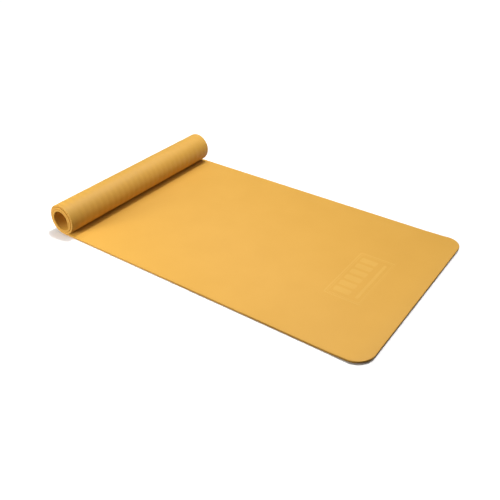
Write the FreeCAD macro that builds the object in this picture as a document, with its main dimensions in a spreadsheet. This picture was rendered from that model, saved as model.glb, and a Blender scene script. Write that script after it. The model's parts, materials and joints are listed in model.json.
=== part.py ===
"""A foam exercise mat, part of it flat on the floor and the rest rolled up.

The mat is one sheet. A sheet bends all along its length, so it is cut here into strips across
its width, and each strip hinges on the next one. From the free end to the inner end they are:

    end_flap, end_strip_04 to 01   the free end with its rounded corners, which curls up
    flat_run                       the long part that lies on the floor
    lay_strip_23 to 01             the part of the flat that the roll takes up in its next turn
    contact_strip                  the strip the roll stands on
    turn_strip_01 to 12            the outer half turn of the roll, which unrolls first
    core_quarter_01 to 10          the rest of the roll, in quarter turns

+X runs along the mat to its free end, Y across it and Z up. The origin is on the floor, under
the middle of the whole shape.
"""

import os
from math import pi, sin, sqrt

import FreeCAD
import Part
import Sketcher

DOC = FreeCAD.newDocument("exercise_mat")
PARTS = []

# --- sizes, in millimetres and degrees -----------------------------------------------------

SIZES = {
    # the sheet
    "width": "610",
    "thickness": "6",
    "corner_radius": "47",
    # from the line the roll stands on to the free end
    "flat_length": "947",
    # the roll is a spiral of half circles. Its radius is the first one's, at the outer face
    "roll_radius": "47.5",
    "layer_gap": "0.3",
    # how far one strip bends from the next
    "bend_angle": "15",
    "end_strip_length": "12",
    # left between the end faces of two strips
    "joint_gap": "0.1",
    # worked out from the sizes above
    "pitch": "=thickness + layer_gap",
    "half_bend": "=bend_angle / 2 * 1 deg",
    "mitre": "=thickness * tan(half_bend)",
    "turn_length": "=2 * roll_radius * tan(half_bend)",
    "lay_length": "=2 * (roll_radius + (layer_gap - thickness) / 2) * tan(half_bend)",
    "lap_length": "=2 * (roll_radius + layer_gap) * tan(half_bend)",
    "end_flap_length": "=corner_radius + 6",
    "contact_x": "=(roll_radius - flat_length) / 2",
    "lay_x": "=contact_x + lay_length / 2",
    "free_x": "=contact_x + flat_length",
}

sheet = DOC.addObject("Spreadsheet::Sheet", "Sizes")
for row, (alias, text) in enumerate(SIZES.items(), start=1):
    sheet.set(f"A{row}", alias)
    sheet.set(f"B{row}", text)
    sheet.setAlias(f"B{row}", alias)
DOC.recompute()

HALF_TURN = round(180 / sheet.bend_angle)  # strips in half a turn
LAY_STRIPS = 2 * HALF_TURN - 1
END_STRIPS = 4
QUARTERS = 10


def bind(item, expressions):
    """Tie an object's properties to the sheet."""
    for name, text in expressions.items():
        item.setExpression(name, text)


def named(item, label):
    """Give a finished sub-part the name that it is written under."""
    item.Label = label
    PARTS.append(item)
    return item


# --- the flat part -------------------------------------------------------------------------


def slab(label, start, end):
    """A flat strip on the floor between two X positions, half a gap short at each end."""
    box = DOC.addObject("Part::Box", label)
    bind(
        box,
        {
            "Length": f"{end} - ({start}) - Sizes.joint_gap",
            "Width": "Sizes.width",
            "Height": "Sizes.thickness",
            "Placement.Base.x": f"{start} + Sizes.joint_gap / 2",
            "Placement.Base.y": "-Sizes.width / 2",
        },
    )
    return named(box, label)


def lay_edge(count):
    """Where the lay strip of this number ends, on the side of the free end.

    The strips of the second half turn go round a larger roll, so they are longer. One strip
    is half of each sort.
    """
    first = min(count, HALF_TURN - 0.5)
    return f"Sizes.lay_x + {first} * Sizes.lay_length + {count - first} * Sizes.lap_length"


def end_edge(count):
    """Where the end strip of this number ends, on the side of the free end."""
    left = END_STRIPS - count
    return f"Sizes.free_x - Sizes.end_flap_length - {left} * Sizes.end_strip_length"


slab("flat_run", lay_edge(LAY_STRIPS), end_edge(0))
for n in range(1, LAY_STRIPS + 1):
    slab(f"lay_strip_{n:02d}", lay_edge(n - 1), lay_edge(n))
for n in range(1, END_STRIPS + 1):
    slab(f"end_strip_{n:02d}", end_edge(n - 1), end_edge(n))

# The flap is a rectangle padded to the thickness, its two outer corners rounded afterwards.
flap = DOC.addObject("PartDesign::Body", "end_flap")
outline = flap.newObject("Sketcher::SketchObject", "flap_outline")
floor = next(f for f in flap.Origin.OriginFeatures if f.Role == "XY_Plane")
outline.AttachmentSupport = [(floor, "")]
outline.MapMode = "FlatFace"
corners = [FreeCAD.Vector(x, y, 0) for x, y in ((0, -300), (50, -300), (50, 300), (0, 300))]
for a, b in zip(corners, corners[1:] + corners[:1]):
    outline.addGeometry(Part.LineSegment(a, b), False)
NEAR, OUTER, FAR, INNER = range(4)
START, END = 1, 2
X_AXIS, Y_AXIS = -1, -2
for side in range(4):
    outline.addConstraint(Sketcher.Constraint("Coincident", side, END, (side + 1) % 4, START))
for side in (NEAR, FAR):
    outline.addConstraint(Sketcher.Constraint("Horizontal", side))
outline.addConstraint(Sketcher.Constraint("Vertical", OUTER))
outline.addConstraint(Sketcher.Constraint("Symmetric", INNER, START, INNER, END, X_AXIS))
outline.addConstraint(Sketcher.Constraint("PointOnObject", INNER, START, Y_AXIS))
length = outline.addConstraint(Sketcher.Constraint("DistanceX", NEAR, START, NEAR, END, 50))
across = outline.addConstraint(Sketcher.Constraint("DistanceY", OUTER, START, OUTER, END, 600))
outline.setExpression(f"Constraints[{length}]", "Sizes.end_flap_length - Sizes.joint_gap / 2")
outline.setExpression(f"Constraints[{across}]", "Sizes.width")

pad = flap.newObject("PartDesign::Pad", "flap_pad")
pad.Profile = outline
pad.setExpression("Length", "Sizes.thickness")
DOC.recompute()

outer_x = pad.Shape.BoundBox.XMax
rounded = []
for number, edge in enumerate(pad.Shape.Edges, start=1):
    box = edge.BoundBox
    if box.XMin > outer_x - 1 and box.ZLength > sheet.thickness / 2:
        rounded.append(f"Edge{number}")
fillet = flap.newObject("PartDesign::Fillet", "flap_corners")
fillet.Base = (pad, rounded)
fillet.setExpression("Radius", "Sizes.corner_radius")
flap.Tip = fillet
flap.setExpression(
    "Placement.Base.x", "Sizes.free_x - Sizes.end_flap_length + Sizes.joint_gap / 2"
)
named(flap, "end_flap")

# --- the strips that stand round the outside of the roll -----------------------------------


def mitred(label, turn, ahead, ahead_mitre):
    """A strip whose outer face lies on the roll, so many degrees round it from the floor.

    Its end faces meet the next strips' halfway through the bend. The end ahead, towards the
    free end, has a length and a mitre of its own.
    """
    wedge = DOC.addObject("Part::Wedge", label)
    behind = "-(Sizes.turn_length - Sizes.joint_gap) / 2"
    ahead = f"({ahead} - Sizes.joint_gap) / 2"
    bind(
        wedge,
        {
            "Xmin": behind,
            "Xmax": ahead,
            "X2min": f"{behind} + Sizes.mitre",
            "X2max": f"{ahead} - {ahead_mitre}",
            "Ymax": "Sizes.thickness",
            "Zmax": "Sizes.width",
            "Z2max": "Sizes.width",
            "Placement": (
                f"placement(vector(Sizes.contact_x - Sizes.roll_radius * sin({turn});"
                f" Sizes.width / 2; Sizes.roll_radius * (1 - cos({turn})));"
                f" rotation(0; {turn}; 90))"
            ),
        },
    )
    wedge.Ymin = wedge.Zmin = wedge.Z2min = 0
    return named(wedge, label)


mitred("contact_strip", "0 deg", "Sizes.lay_length", "0")
for n in range(1, HALF_TURN + 1):
    turn = f"({n} * Sizes.bend_angle * 1 deg)"
    mitred(f"turn_strip_{n:02d}", turn, "Sizes.turn_length", "Sizes.mitre")

# --- the core of the roll ------------------------------------------------------------------


def quarter(label, number, angle):
    """A quarter of a turn, cut from the wall of a tube.

    The half turns are centred in turn on the first one's centre and half a pitch above it, so
    that each runs smoothly into the next and the layers stay one pitch apart.
    """
    half = (number + 1) // 2
    height = f"Sizes.roll_radius + {half % 2} * Sizes.pitch / 2"
    radius = f"Sizes.roll_radius - {half} * Sizes.pitch / 2"
    tubes = []
    for face, size in (("outer", radius), ("inner", f"{radius} - Sizes.thickness")):
        tube = DOC.addObject("Part::Cylinder", f"{label}_{face}")
        bind(tube, {"Radius": size, "Height": "Sizes.width", "Angle": angle})
        tubes.append(tube)
    wall = DOC.addObject("Part::Cut", label)
    wall.Base, wall.Tool = tubes
    end = 270 + 90 * number
    wall.setExpression(
        "Placement",
        f"placement(vector(Sizes.contact_x; Sizes.width / 2; {height}); rotation(0; {end}; 90))",
    )
    return wall


def corner_cutter(label, radius):
    """What the two rounded corners of the inner end leave out, seen straight on.

    The end is bent round a quarter circle of this radius, and the blocks are as deep as that
    radius twice over, so that they pass right through the wall.
    """
    blocks = []
    steps = 16
    for side in (-1, 1):
        edge = side * sheet.width / 2
        beyond = edge + side * sheet.thickness
        first = -radius * sin(pi / 4)
        points = [FreeCAD.Vector(first, beyond, 0)]
        for step in range(steps + 1):
            bend = pi / 2 * step / steps
            past = sheet.corner_radius + radius * (bend - pi / 2)
            inset = 0
            if past > 0:
                inset = sheet.corner_radius - sqrt(sheet.corner_radius**2 - past**2)
            points.append(FreeCAD.Vector(radius * sin(bend - pi / 4), edge - side * inset, 0))
        points.append(FreeCAD.Vector(radius, points[-1].y, 0))
        points.append(FreeCAD.Vector(radius, beyond, 0))
        face = Part.Face(Part.makePolygon(points + points[:1]))
        blocks.append(face.extrude(FreeCAD.Vector(0, 0, 2 * radius)))
    cutter = DOC.addObject("Part::Feature", label)
    cutter.Shape = Part.makeCompound(blocks)
    cutter.setExpression(
        "Placement",
        "placement(vector(Sizes.contact_x; 0; Sizes.roll_radius + Sizes.pitch / 2);"
        " rotation(0; 135; 0))",
    )
    return cutter


# The first quarter starts where the last flat strip ends.
covered = "(Sizes.turn_length / 2 + Sizes.joint_gap) / (Sizes.roll_radius - Sizes.pitch / 2)"
named(quarter("core_quarter_01", 1, f"90 deg - asin({covered})"), "core_quarter_01")
for n in range(2, QUARTERS):
    named(quarter(f"core_quarter_{n:02d}", n, "90"), f"core_quarter_{n:02d}")

inner_wall = quarter("inner_wall", QUARTERS, "90")
middle = sheet.roll_radius - 5 * sheet.pitch / 2 - sheet.thickness / 2
inner_end = DOC.addObject("Part::Cut", f"core_quarter_{QUARTERS:02d}")
inner_end.Base = inner_wall
inner_end.Tool = corner_cutter("inner_corners", middle)
named(inner_end, f"core_quarter_{QUARTERS:02d}")

# --- check and write -----------------------------------------------------------------------

DOC.recompute()
for item in DOC.Objects:
    wrong = {"Invalid", "Error"} & set(item.State)
    if wrong:
        raise RuntimeError(f"{item.Label} is {wrong}")
for item in PARTS:
    shape = item.Shape
    if shape.isNull() or not shape.isValid() or len(shape.Solids) != 1:
        raise RuntimeError(f"{item.Label} is not one sound solid")

os.makedirs("parts", exist_ok=True)
for item in PARTS:
    item.Shape.exportStep(f"parts/{item.Label}.step")
print(f"{len(PARTS)} parts written")
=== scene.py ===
"""A yellow foam exercise mat, lying flat from its free end and rolled up at the other.

The mat is one sheet of foam. It is made here as lengths of that sheet, end to end, each shaped
flat and then laid where the sheet goes: along the floor, and round and round into the roll.
A length is laid over each hinge of the frame, in the shape the sheet has there at rest.
"""

import json
from math import atan2, cos, pi, radians, sin

import bmesh
import bpy
from mathutils import Matrix, Vector


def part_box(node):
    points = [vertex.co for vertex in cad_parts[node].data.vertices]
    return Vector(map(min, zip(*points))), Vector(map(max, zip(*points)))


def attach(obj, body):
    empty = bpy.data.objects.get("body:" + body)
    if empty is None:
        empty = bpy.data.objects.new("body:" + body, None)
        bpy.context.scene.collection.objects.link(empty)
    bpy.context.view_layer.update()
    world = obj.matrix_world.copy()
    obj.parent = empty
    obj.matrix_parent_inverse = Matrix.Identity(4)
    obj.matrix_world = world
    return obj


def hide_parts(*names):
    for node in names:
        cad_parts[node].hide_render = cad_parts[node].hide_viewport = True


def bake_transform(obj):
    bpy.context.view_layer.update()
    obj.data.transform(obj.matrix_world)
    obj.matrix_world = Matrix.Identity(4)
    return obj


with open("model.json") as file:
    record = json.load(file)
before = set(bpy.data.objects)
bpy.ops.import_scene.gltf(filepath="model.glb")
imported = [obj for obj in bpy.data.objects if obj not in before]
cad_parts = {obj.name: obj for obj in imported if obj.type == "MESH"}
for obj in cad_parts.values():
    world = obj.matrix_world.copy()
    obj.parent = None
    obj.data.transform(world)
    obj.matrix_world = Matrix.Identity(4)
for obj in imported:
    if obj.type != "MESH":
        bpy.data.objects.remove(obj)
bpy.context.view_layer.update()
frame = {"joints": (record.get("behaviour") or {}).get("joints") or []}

# --- the flat run --------------------------------------------------------------------------
# The long part that lies on the floor. The mat is closed-cell foam moulded in one layer, with
# a finely grained top and shallow ribs beneath, and its outline is cut with a knife.

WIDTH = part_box("flat_run")[1].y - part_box("flat_run")[0].y
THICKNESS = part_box("flat_run")[1].z
ROLL_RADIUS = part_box("turn_strip_12")[1].z / 2
CONTACT_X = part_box("turn_strip_06")[0].x + ROLL_RADIUS  # where the roll stands
FREE_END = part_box("end_flap")[1].x - CONTACT_X
PITCH = THICKNESS + 0.0003  # from one layer of the roll to the next
CORNER = 0.047  # radius of the outline's corners
LIFTED, FREE_END_LIFT = 0.13, 0.005  # the length of the free end off the floor, and its rise
RIM = 0.0016  # how far the knife's edge is eased
DRIFT, DRIFT_OVER = 0.005, 0.3  # how far the roll has crept sideways, and over what length
DRIFT_INWARD = 0.0015  # how much further it creeps for each metre wound
REACH = 0.0055  # how far a bend spreads past its hinge into a stiff length


def on_sheet(point):
    """Where a point of the flat sheet lies in the mat.

    X is measured along the sheet from where the roll stands, towards the free end, which
    stands a little off the floor, and Z up from the underside. The roll is made of half
    circles, centred in turn on the first one's centre and half a pitch above it, and it was
    wound a little askew.
    """
    along, across, depth = point
    if along >= 0:
        lift = FREE_END_LIFT * max(0, 1 - (FREE_END - along) / LIFTED) ** 2
        return Vector((CONTACT_X + along, across, depth + lift))
    crept = min(1, -along / DRIFT_OVER)
    across -= DRIFT * crept * crept * (3 - 2 * crept) - DRIFT_INWARD * along
    left, half = -along, 0
    while left > pi * (ROLL_RADIUS - half * PITCH / 2):
        left -= pi * (ROLL_RADIUS - half * PITCH / 2)
        half += 1
    radius = ROLL_RADIUS - half * PITCH / 2
    turn = pi * half + left / radius
    centre = ROLL_RADIUS + half % 2 * PITCH / 2
    out = radius - depth
    return Vector((CONTACT_X - out * sin(turn), across, centre - out * cos(turn)))


def linear(code):
    """A colour written as sRGB hex, as the linear values that a shader takes."""
    parts = [int(code[i : i + 2], 16) / 255 for i in (1, 3, 5)]
    return [c / 12.92 if c <= 0.04045 else ((c + 0.055) / 1.055) ** 2.4 for c in parts] + [1]


def add(tree, kind, settings=None, links=None):
    """Adds a node. Settings are its properties or input values, and links its inputs' sources."""
    node = tree.nodes.new(kind)
    for name, value in (settings or {}).items():
        if isinstance(name, str) and hasattr(node, name):
            setattr(node, name, value)
        else:
            node.inputs[name].default_value = value
    for name, source in (links or {}).items():
        tree.links.new(source, node.inputs[name])
    return node


def foam(name, light, dark, cell, relief, roughness, ribs=None):
    """Foam of two close tones in soft patches, with cells of one size raised or sunk by relief.

    The cell and the relief are in metres, and the ribs are a function that adds their height.
    """
    material = bpy.data.materials.new(name)
    material.use_nodes = True
    tree = material.node_tree
    tree.nodes.clear()
    place = add(tree, "ShaderNodeUVMap", {"uv_map": "sheet"}).outputs[0]
    patches = add(
        tree, "ShaderNodeTexNoise", {"Scale": 9.0, "Detail": 3.0}, {"Vector": place}
    ).outputs[0]
    tone = add(
        tree, "ShaderNodeMapRange", {"From Min": 0.35, "From Max": 0.65}, {"Value": patches}
    ).outputs[0]
    colour = add(
        tree,
        "ShaderNodeMix",
        {"data_type": "RGBA", 6: linear(dark), 7: linear(light)},
        {0: tone},
    ).outputs[2]
    cells = add(
        tree, "ShaderNodeTexVoronoi", {"Scale": 1 / cell, "Randomness": 0.9}, {"Vector": place}
    ).outputs["Distance"]
    height = add(
        tree, "ShaderNodeMath", {"operation": "MULTIPLY", 1: relief}, {0: cells}
    ).outputs[0]
    if ribs:
        height = add(
            tree, "ShaderNodeMath", {"operation": "ADD"}, {0: height, 1: ribs(tree, place)}
        ).outputs[0]
    bump = add(tree, "ShaderNodeBump", {"Distance": 1.0}, {"Height": height}).outputs[0]
    shader = add(
        tree,
        "ShaderNodeBsdfPrincipled",
        {"Roughness": roughness, "Specular IOR Level": 0.3},
        {"Base Color": colour, "Normal": bump},
    ).outputs[0]
    add(tree, "ShaderNodeOutputMaterial", None, {"Surface": shader})
    return material


RIB_PITCH = 0.0218
RIB_HEIGHT = 0.0007


def grip_ribs(tree, place):
    """The height of shallow ribs along the mat, which wander a little as they go."""
    wander = add(
        tree, "ShaderNodeTexNoise", {"Scale": 5.0, "Detail": 1.0}, {"Vector": place}
    ).outputs[0]
    across = add(tree, "ShaderNodeSeparateXYZ", None, {0: place}).outputs[1]
    shifted = add(
        tree,
        "ShaderNodeMath",
        {"operation": "MULTIPLY_ADD", 1: 0.4 * RIB_PITCH},
        {0: wander, 2: across},
    ).outputs[0]
    phase = add(
        tree, "ShaderNodeMath", {"operation": "MULTIPLY", 1: 2 * pi / RIB_PITCH}, {0: shifted}
    ).outputs[0]
    wave = add(tree, "ShaderNodeMath", {"operation": "SINE"}, {0: phase}).outputs[0]
    return add(
        tree, "ShaderNodeMath", {"operation": "MULTIPLY", 1: RIB_HEIGHT / 2}, {0: wave}
    ).outputs[0]


# The moulded top is matt, with a grain like fine leather that only just breaks up the light.
TOP = foam("foam_moulded_top", "#C8973E", "#C6953C", 0.003, 0.00012, 0.6)
# The underside is the same foam with its grip ribs, a little deeper in colour.
UNDERSIDE = foam("foam_ribbed_underside", "#C89840", "#C6963E", 0.003, 0.00012, 0.6, grip_ribs)
# The knife opens the cells, so a cut edge is rougher and less glossy than the skin. Its darker
# colour is painted shade, standing for the shade on the upright edges that face away from the
# lamps.
SHADED_EDGE = foam("foam_knife_cut_edge", "#AD7F32", "#A0742A", 0.0012, 0.0003, 0.85)


def length_of_sheet(name, start, end, steps, mat_end=None):
    """A closed length of the sheet, between two distances along it.

    It is shaped flat: a block, with its two corners rounded where it reaches an end of the mat,
    its outline eased, and cut across in as many steps as its bend needs. Then it is laid.
    """
    mesh = bmesh.new()
    bmesh.ops.create_cube(mesh, size=1)
    size = Matrix.Diagonal((end - start, WIDTH, THICKNESS, 1))
    place = Matrix.Translation(((start + end) / 2, 0, THICKNESS / 2))
    bmesh.ops.transform(mesh, matrix=place @ size, verts=mesh.verts)

    def ends(edge):
        return [vert.co for vert in edge.verts]

    def lies_at(edge, x):
        return x is not None and all(abs(co.x - x) < 1e-6 for co in ends(edge))

    def upright(edge):
        return abs(ends(edge)[0].z - ends(edge)[1].z) > THICKNESS / 2

    def bevelled(edges, offset, segments):
        bmesh.ops.bevel(
            mesh,
            geom=edges,
            offset=offset,
            affect="EDGES",
            segments=segments,
            profile=0.5,
            material=-1,
        )

    if mat_end is not None:
        corners = [e for e in mesh.edges if upright(e) and lies_at(e, mat_end)]
        bevelled(corners, CORNER, 24)
    joins = [x for x in (start, end) if x != mat_end]
    outline = [
        e for e in mesh.edges if not upright(e) and not any(lies_at(e, x) for x in joins)
    ]
    bevelled(outline, RIM, 3)
    for step in range(1, steps):
        bmesh.ops.bisect_plane(
            mesh,
            geom=mesh.verts[:] + mesh.edges[:] + mesh.faces[:],
            dist=1e-7,
            plane_co=(start + (end - start) * step / steps, 0, 0),
            plane_no=(1, 0, 0),
        )
    laid = mesh.loops.layers.uv.new("sheet")
    mesh.normal_update()
    for face in mesh.faces:
        face.smooth = True
        # Upright faces and the eased rim take the cut-edge foam, whose darker colour is painted
        # shade.
        if abs(face.normal.z) < 0.9:
            face.material_index = 2
        elif face.normal.z < 0:
            face.material_index = 1
        for loop in face.loops:
            along, across, depth = loop.vert.co
            loop[laid].uv = (along + depth, across + depth)
    for vert in mesh.verts:
        vert.co = on_sheet(vert.co)
    mesh.normal_update()
    for edge in mesh.edges:
        edge.smooth = edge.calc_face_angle(0) < radians(31)
    return finished(name, mesh, (TOP, UNDERSIDE, SHADED_EDGE))


def finished(name, mesh, materials):
    """Puts a mesh in the scene as one piece of the mat."""
    data = bpy.data.meshes.new(name)
    mesh.to_mesh(data)
    mesh.free()
    for material in materials:
        data.materials.append(material)
    piece = bpy.data.objects.new(name, data)
    bpy.context.scene.collection.objects.link(piece)
    return piece


def distance_along(joint):
    """How far along the sheet a hinge of the frame lies, from where the roll stands."""
    x, _, z = joint["pos_m"]
    if x > CONTACT_X:
        return x - CONTACT_X
    return -ROLL_RADIUS * atan2(CONTACT_X - x, ROLL_RADIUS - z)


HINGES = sorted(frame["joints"], key=distance_along)  # from the roll to the free end
PLACES = [distance_along(joint) for joint in HINGES]


def bend_at(number):
    """Where the length that lies over a hinge starts and ends.

    It meets the next bend halfway, so that they run on without a break, or a stiff length.
    """
    here = PLACES[number]
    start, end = here - REACH, here + REACH
    if number and here - PLACES[number - 1] < 3 * REACH:
        start = (PLACES[number - 1] + here) / 2
    if number + 1 < len(PLACES) and PLACES[number + 1] - here < 3 * REACH:
        end = (here + PLACES[number + 1]) / 2
    return start, end


FIRST_CURL = min(i for i, joint in enumerate(HINGES) if joint["name"].startswith("curl"))
flat_run = length_of_sheet(
    "foam_flat_run", bend_at(FIRST_CURL - 1)[1], bend_at(FIRST_CURL)[0], 40
)
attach(flat_run, "flat_run")
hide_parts("flat_run")

# --- the free end --------------------------------------------------------------------------
# The last hand's breadth of the mat, which lies flat and curls up when it is let go. Its two
# corners are rounded by the same knife that cuts the sides.

end_flap = length_of_sheet(
    "foam_free_end", bend_at(len(HINGES) - 1)[1], FREE_END, 8, mat_end=FREE_END
)
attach(end_flap, "end_flap")
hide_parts("end_flap")

# --- the heart of the roll -----------------------------------------------------------------
# The end of the mat that was rolled first. It is wound two and a half turns inside the
# outer half turn, and its rounded corners lie against the layer before them.

HALF_TURNS = 6
wound = sum(pi * (ROLL_RADIUS - half * PITCH / 2) for half in range(HALF_TURNS))
roll_core = length_of_sheet("foam_roll_core", -wound, bend_at(0)[0], 360, mat_end=-wound)
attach(roll_core, "roll_core")
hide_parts(*[f"core_quarter_{number:02d}" for number in range(1, 11)])

# --- the lengths over the hinges -----------------------------------------------------------
# The foam between the stiff lengths, each piece laid over one hinge in its rest shape: round the
# outside of the roll, along the floor in front of it, and before the free end.

BEND_STEPS = 16

for number, joint in enumerate(HINGES):
    start, end = bend_at(number)
    bend = length_of_sheet(f"foam_at_{joint['name']}", start, end, BEND_STEPS)
    first, last = (on_sheet((at, 0, THICKNESS / 2)) for at in (start, end))
    first.y = last.y = 0  # the middles of its two ends, on the mat's centre line; nothing here uses them
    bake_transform(bend)
    strip = "turn_strip_12" if joint["child"] == "roll_core" else joint["child"]
    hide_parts(strip)

# --- the pressed mark ----------------------------------------------------------------------
# A plain mark near the free end: a double frame round a row of blocks and one long bar. A warm
# die leaves it a hair proud of the foam, and a shade paler and smoother.

MARK_NEAR, MARK_FAR = FREE_END - 0.212, FREE_END - 0.108  # along the mat
MARK_LEFT, MARK_RIGHT = -0.118, 0.094  # across it
MARK_HEIGHT = 0.00012

# The pressed skin is the mat's own foam, closed and slightly paler.
PRESSED = foam("foam_pressed_mark", "#CC9D45", "#C99A42", 0.003, 0.00003, 0.5)


def rounded_slab(mesh, centre, size, corner):
    """A thin slab with rounded corners, half sunk in the mat. Its two lids are returned."""
    made = bmesh.ops.create_cube(mesh, size=1)["verts"]
    scale = Matrix.Diagonal((size[0], size[1], 2 * MARK_HEIGHT, 1))
    place = Matrix.Translation((centre[0], centre[1], THICKNESS))
    bmesh.ops.transform(mesh, matrix=place @ scale, verts=made)
    uprights = {
        e for v in made for e in v.link_edges if abs(e.verts[0].co.z - e.verts[1].co.z) > 1e-6
    }
    rounded = bmesh.ops.bevel(
        mesh,
        geom=list(uprights),
        offset=corner,
        affect="EDGES",
        segments=8,
        profile=0.5,
        material=-1,
    )
    mesh.normal_update()
    around = {face for vert in rounded["verts"] for face in vert.link_faces}
    return [face for face in around if abs(face.normal.z) > 0.9]


def outline_band(mesh, centre, size, corner, line):
    """A band of that line width round a rectangle with rounded corners."""
    lids = rounded_slab(mesh, centre, size, corner)
    bmesh.ops.inset_region(mesh, faces=lids, thickness=line, use_even_offset=True)
    inner = {edge for face in lids for edge in face.edges}
    bmesh.ops.delete(mesh, geom=lids, context="FACES_ONLY")
    bmesh.ops.bridge_loops(mesh, edges=list(inner))


mark = bmesh.new()
middle = ((MARK_NEAR + MARK_FAR) / 2 + CONTACT_X, (MARK_LEFT + MARK_RIGHT) / 2)
reach = (MARK_FAR - MARK_NEAR, MARK_RIGHT - MARK_LEFT)
outline_band(mark, middle, reach, 0.006, 0.0035)
outline_band(mark, middle, (reach[0] - 0.014, reach[1] - 0.014), 0.003, 0.0015)
for number in range(6):
    across = middle[1] + (number - 2.5) * 0.03
    rounded_slab(mark, (middle[0] - 0.014, across), (0.046, 0.02), 0.004)
rounded_slab(mark, (middle[0] + 0.03, middle[1]), (0.008, 0.17), 0.0035)
laid = mark.loops.layers.uv.new("sheet")
for face in mark.faces:
    for loop in face.loops:
        loop[laid].uv = (loop.vert.co.x - CONTACT_X, loop.vert.co.y)
pressed_mark = finished("foam_pressed_mark", mark, (PRESSED,))
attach(pressed_mark, "flat_run")

# --- the studio ----------------------------------------------------------------------------
# A wide matt white floor inside a white dome. A small lamp overhead makes the dark line under
# the roll, a diffuser and a dim surround soften it, and softboxes light the roll.

STUDIO = 30  # half the floor's side, and the radius of the dome
FLOOR_GAP = 0.0002  # how far the floor lies below the mat


def studio_part(name, mesh, colour, glow):
    """A part of the studio in plain matt paper, which throws no light on the mat."""
    data = bpy.data.meshes.new(name)
    mesh.to_mesh(data)
    mesh.free()
    part = bpy.data.objects.new(name, data)
    part.visible_diffuse = False  # black flags keep its light off the cut edges
    bpy.context.scene.collection.objects.link(part)
    paper = bpy.data.materials.new(f"{name}_paper")
    paper.use_nodes = True
    sockets = paper.node_tree.nodes["Principled BSDF"].inputs
    sockets["Base Color"].default_value = linear(colour)
    sockets["Roughness"].default_value = 1.0
    sockets["Specular IOR Level"].default_value = 0.0
    sockets["Emission Color"].default_value = linear(colour)
    sockets["Emission Strength"].default_value = glow
    data.materials.append(paper)
    return part


ground = bmesh.new()
bmesh.ops.create_grid(ground, x_segments=1, y_segments=1, size=STUDIO)
bmesh.ops.translate(ground, vec=(0, 0, -FLOOR_GAP), verts=ground.verts)
studio_part("studio_floor", ground, "#FDFDFD", 0)
dome = bmesh.new()
bmesh.ops.create_uvsphere(dome, u_segments=32, v_segments=16, radius=STUDIO)
bmesh.ops.reverse_faces(dome, faces=dome.faces)
backdrop = studio_part("studio_backdrop", dome, "#FFFFFF", 1)
backdrop.visible_shadow = False  # so that the lamps outside it shine in
backdrop.visible_glossy = False


def soft_sun(name, power, spread, towards):
    """A broad light from a direction, given as the point of the sky that it shines from."""
    light = bpy.data.lights.new(name, "SUN")
    light.energy = power
    light.angle = radians(spread)
    lamp = bpy.data.objects.new(name, light)
    lamp.rotation_euler = Vector(towards).to_track_quat("Z", "Y").to_euler()
    bpy.context.scene.collection.objects.link(lamp)


def softbox(name, power, side, place, target):
    """A square softbox at a place, facing a target."""
    light = bpy.data.lights.new(name, "AREA")
    light.size = side
    light.energy = power
    lamp = bpy.data.objects.new(name, light)
    lamp.location = place
    lamp.rotation_euler = (Vector(place) - Vector(target)).to_track_quat("Z", "Y").to_euler()
    bpy.context.scene.collection.objects.link(lamp)


soft_sun("overhead_lamp", 2.12, 10, (0.1, 0.3, 1))
soft_sun("lamp_behind_the_far_side", 0.42, 25, (0.3, 0.7, 1))
soft_sun("overhead_diffuser", 0.6, 80, (0, 0, 1))
softbox("softbox_behind_the_roll", 4.6, 0.5, (-0.6, 0.6, 1.0), (-0.6, 0.6, 0))
softbox("softbox_by_the_near_end", 24, 0.4, (-0.75, -1.35, 0.2), (CONTACT_X, -0.305, 0.05))
softbox("softbox_over_the_mat", 1.6, 0.5, (0.25, 0, 0.8), (CONTACT_X, 0, 0.05))

world = bpy.data.worlds.new("dim_surround")
world.use_nodes = True
world.node_tree.nodes["Background"].inputs["Color"].default_value = (1, 1, 1, 1)
world.node_tree.nodes["Background"].inputs["Strength"].default_value = 0.12
bpy.context.scene.world = world
bpy.context.scene.view_settings.view_transform = "Standard"

lens = bpy.data.cameras.new("camera")
lens.sensor_width = 36
lens.lens = 45.80
camera = bpy.data.objects.new("camera", lens)
camera.location = (0.8603, -1.2639, 0.9695)
camera.rotation_euler = (radians(56.437), radians(-0.263), radians(35.014))
bpy.context.scene.collection.objects.link(camera)
bpy.context.scene.camera = camera
